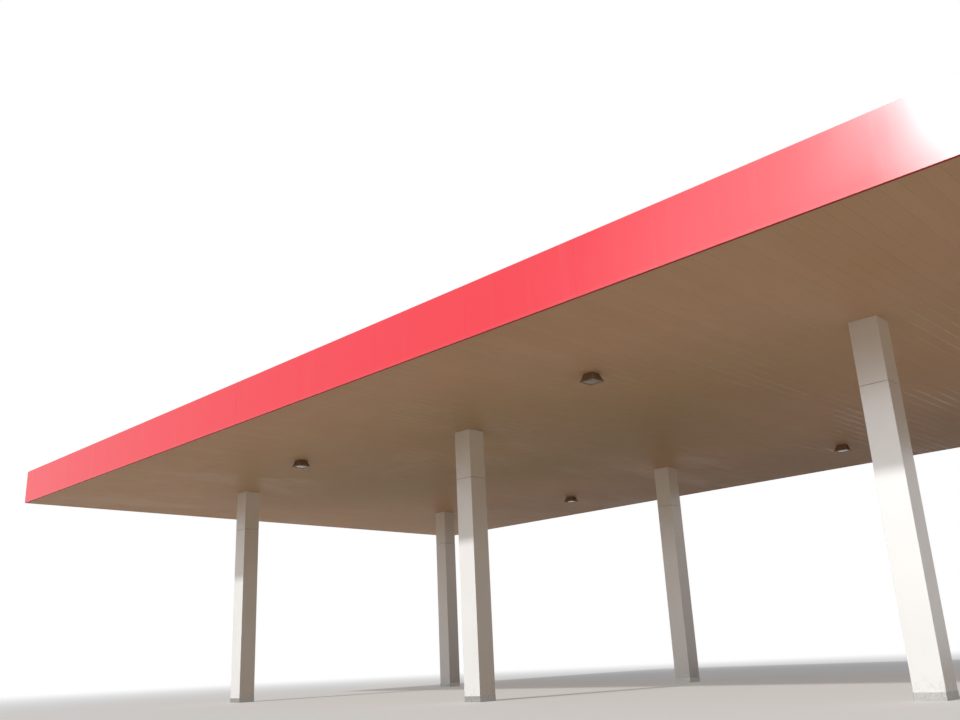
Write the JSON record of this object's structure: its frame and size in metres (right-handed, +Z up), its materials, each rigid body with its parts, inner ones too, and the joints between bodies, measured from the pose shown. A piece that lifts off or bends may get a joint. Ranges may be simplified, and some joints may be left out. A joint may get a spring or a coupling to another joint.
{
  "type": "filling station canopy",
  "caption": "Flat roof on square clad columns over drive-through lanes, with a glossy red fascia and a strip-panelled soffit.",
  "frame": {"origin": "middle of the canopy's plan, level with the column feet", "axes": "+X along the canopy's long side, -Y out of the long side seen in the picture, +Z up"},
  "size_m": [36, 22.25, 8.7],
  "materials": {
    "steel": "satin primer grey",
    "cladding_white": "gloss white coated panel",
    "skirting_grey": "brushed",
    "fascia_red": "gloss red coated panel",
    "soffit_cream": "satin cream coated strip",
    "roof_grey": "weathered coated sheet",
    "light_unit": "dark grey housing with a glass"
  },
  "bodies": {
    "root": {"ceiling_lights": "light_unit", "ceiling_runners": "steel", "cladding_front_left": "cladding_white", "cladding_front_middle": "cladding_white", "cladding_front_right": "cladding_white", "cladding_rear_left": "cladding_white", "cladding_rear_middle": "cladding_white", "cladding_rear_right": "cladding_white", "column_skirtings": "skirting_grey", "edge_beam_front": "steel", "edge_beam_left": "steel", "edge_beam_rear": "steel", "edge_beam_right": "steel", "fascia_frame_front": "steel", "fascia_frame_left": "steel", "fascia_frame_rear": "steel", "fascia_frame_right": "steel", "fascia_front": "fascia_red", "fascia_left": "fascia_red", "fascia_rear": "fascia_red", "fascia_right": "fascia_red", "girder_left": "steel", "girder_middle": "steel", "girder_right": "steel", "gutter_front": "roof_grey", "gutter_rear": "roof_grey", "parapet_capping": "fascia_red", "post_front_left": "steel", "post_front_middle": "steel", "post_front_right": "steel", "post_rear_left": "steel", "post_rear_middle": "steel", "post_rear_right": "steel", "purlins": "steel", "ridge_cap": "roof_grey", "roof_sheet_front": "roof_grey", "roof_sheet_rear": "roof_grey", "row_beams_front": "steel", "row_beams_rear": "steel", "soffit_left_bay": "soffit_cream", "soffit_left_end": "soffit_cream", "soffit_right_bay": "soffit_cream", "soffit_right_end": "soffit_cream"}
  },
  "joints": []
}
